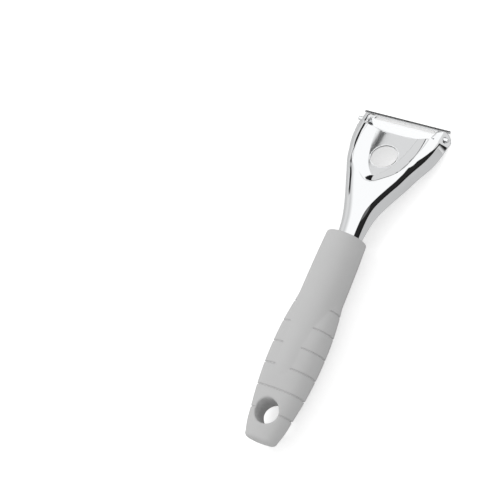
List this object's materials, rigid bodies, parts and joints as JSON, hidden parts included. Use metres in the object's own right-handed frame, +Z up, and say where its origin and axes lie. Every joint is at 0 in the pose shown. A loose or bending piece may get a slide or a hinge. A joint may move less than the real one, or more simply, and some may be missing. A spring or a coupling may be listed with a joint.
{
  "type": "vegetable peeler",
  "caption": "Hand-held vegetable peeler with a ribbed soft grip, a flared stamped steel head and a swivelling slotted blade held across its end.",
  "frame": {"origin": "bottom centre of the peeler's box, lying on its back on the table", "axes": "+X along the blade, +Y from the hanging end of the handle to the blade, +Z up from the table"},
  "size_m": [0.0578, 0.1932, 0.0235],
  "materials": {
    "soft_grip": "soft-touch matt light grey",
    "core_plastic": "moulded, unpainted grey",
    "head_chrome": "polished bright plate",
    "blade_steel": "fine ground stainless"
  },
  "bodies": {
    "handle": {"handle_grip": "soft_grip", "handle_core": "core_plastic", "head_yoke": "head_chrome"},
    "swivel_blade": {"blade": "blade_steel"}
  },
  "joints": [
    {"name": "blade_swivel", "type": "hinge", "parent": "handle", "child": "swivel_blade", "pos_m": [0, 0.0907, 0.00325], "axis": [1, 0, 0], "range_deg": [-25, 25]}
  ]
}
